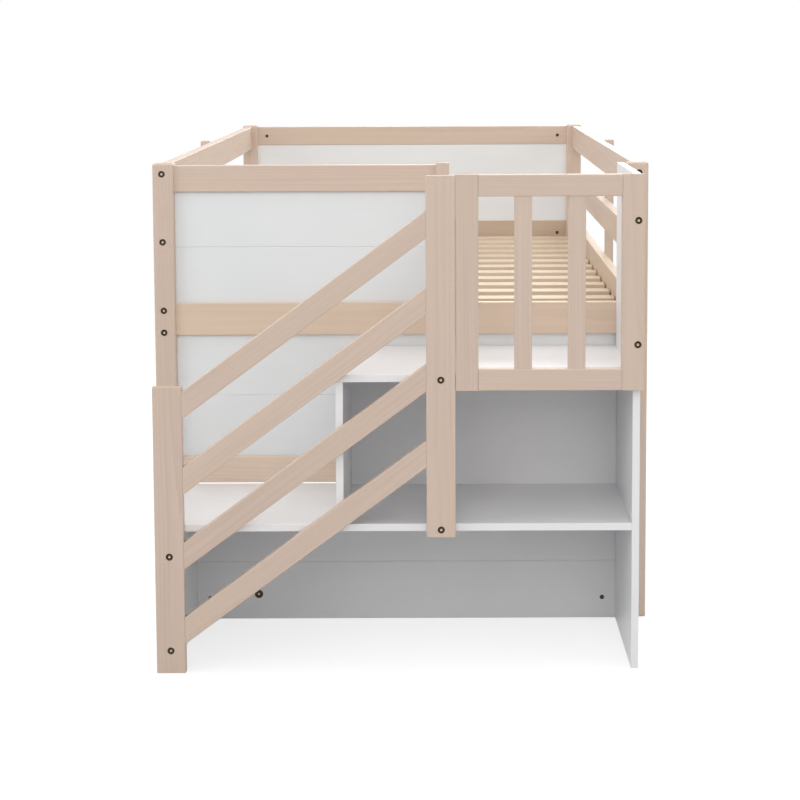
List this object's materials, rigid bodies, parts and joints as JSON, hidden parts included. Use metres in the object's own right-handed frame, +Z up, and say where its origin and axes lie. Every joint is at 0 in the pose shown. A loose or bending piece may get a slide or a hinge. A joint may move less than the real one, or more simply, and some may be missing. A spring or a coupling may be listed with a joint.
{
  "type": "low loft bed",
  "caption": "Low loft bed: a raised slatted bed frame of natural wood with railed sides, and a white stair and cubby unit with slanting rails and a platform guard across its foot.",
  "frame": {"origin": "on the floor, under the middle of the whole piece's bounding box", "axes": "+Z up, +Y along the bed from the stair at its foot to its head, +X to the right seen from the stair"},
  "size_m": [1.096, 2.375, 1],
  "materials": {
    "natural_wood": "pale natural wood under a thin matt clear lacquer",
    "slat_wood": "planed, unfinished pale wood",
    "white_boards": "white satin paint on tongue-and-groove boards",
    "white_panels": "white satin coated board with eased edges",
    "bronze_steel": "dark bronze coated steel",
    "zinc_steel": "zinc plated",
    "dowel_wood": "plain turned dowel"
  },
  "bodies": {
    "root": {"barrel_nuts": "zinc_steel", "bed_slats": "slat_wood", "cam_bolts": "zinc_steel", "cam_locks": "zinc_steel", "cubby_back": "white_panels", "cubby_wall": "white_panels", "dowels": "dowel_wood", "end_rail_bolts": "bronze_steel", "entry_post": "natural_wood", "foot_bed_rail": "natural_wood", "foot_left_post": "natural_wood", "foot_lower_board_1": "white_boards", "foot_lower_board_2": "white_boards", "foot_lower_rail": "natural_wood", "foot_right_post": "natural_wood", "foot_top_rail": "natural_wood", "foot_upper_board_1": "white_boards", "foot_upper_board_2": "white_boards", "guard_bottom_rail": "natural_wood", "guard_left_stile": "natural_wood", "guard_right_stile": "natural_wood", "guard_slat_1": "natural_wood", "guard_slat_2": "natural_wood", "guard_top_rail": "natural_wood", "head_bed_rail": "natural_wood", "head_left_post": "natural_wood", "head_lower_board_1": "white_boards", "head_lower_board_2": "white_boards", "head_lower_rail": "natural_wood", "head_right_post": "natural_wood", "head_top_rail": "natural_wood", "head_upper_board_1": "white_boards", "head_upper_board_2": "white_boards", "hex_nut": "zinc_steel", "left_guard_rail": "natural_wood", "left_middle_stile": "natural_wood", "left_side_rail": "natural_wood", "left_slat_ledger": "slat_wood", "left_top_rail": "natural_wood", "lower_step": "white_panels", "middle_board": "natural_wood", "platform": "white_panels", "post_bolts": "bronze_steel", "right_guard_rail": "natural_wood", "right_middle_stile": "natural_wood", "right_side_rail": "natural_wood", "right_slat_ledger": "slat_wood", "right_top_rail": "natural_wood", "stair_back_panel": "white_panels", "stair_bolts": "bronze_steel", "stair_left_panel": "white_panels", "stair_post": "natural_wood", "stair_rail_1": "natural_wood", "stair_rail_2": "natural_wood", "stair_rail_3": "natural_wood", "stair_rail_4": "natural_wood", "stair_rail_dowels": "dowel_wood", "stair_right_panel": "white_panels", "wood_screws": "zinc_steel"}
  },
  "joints": []
}
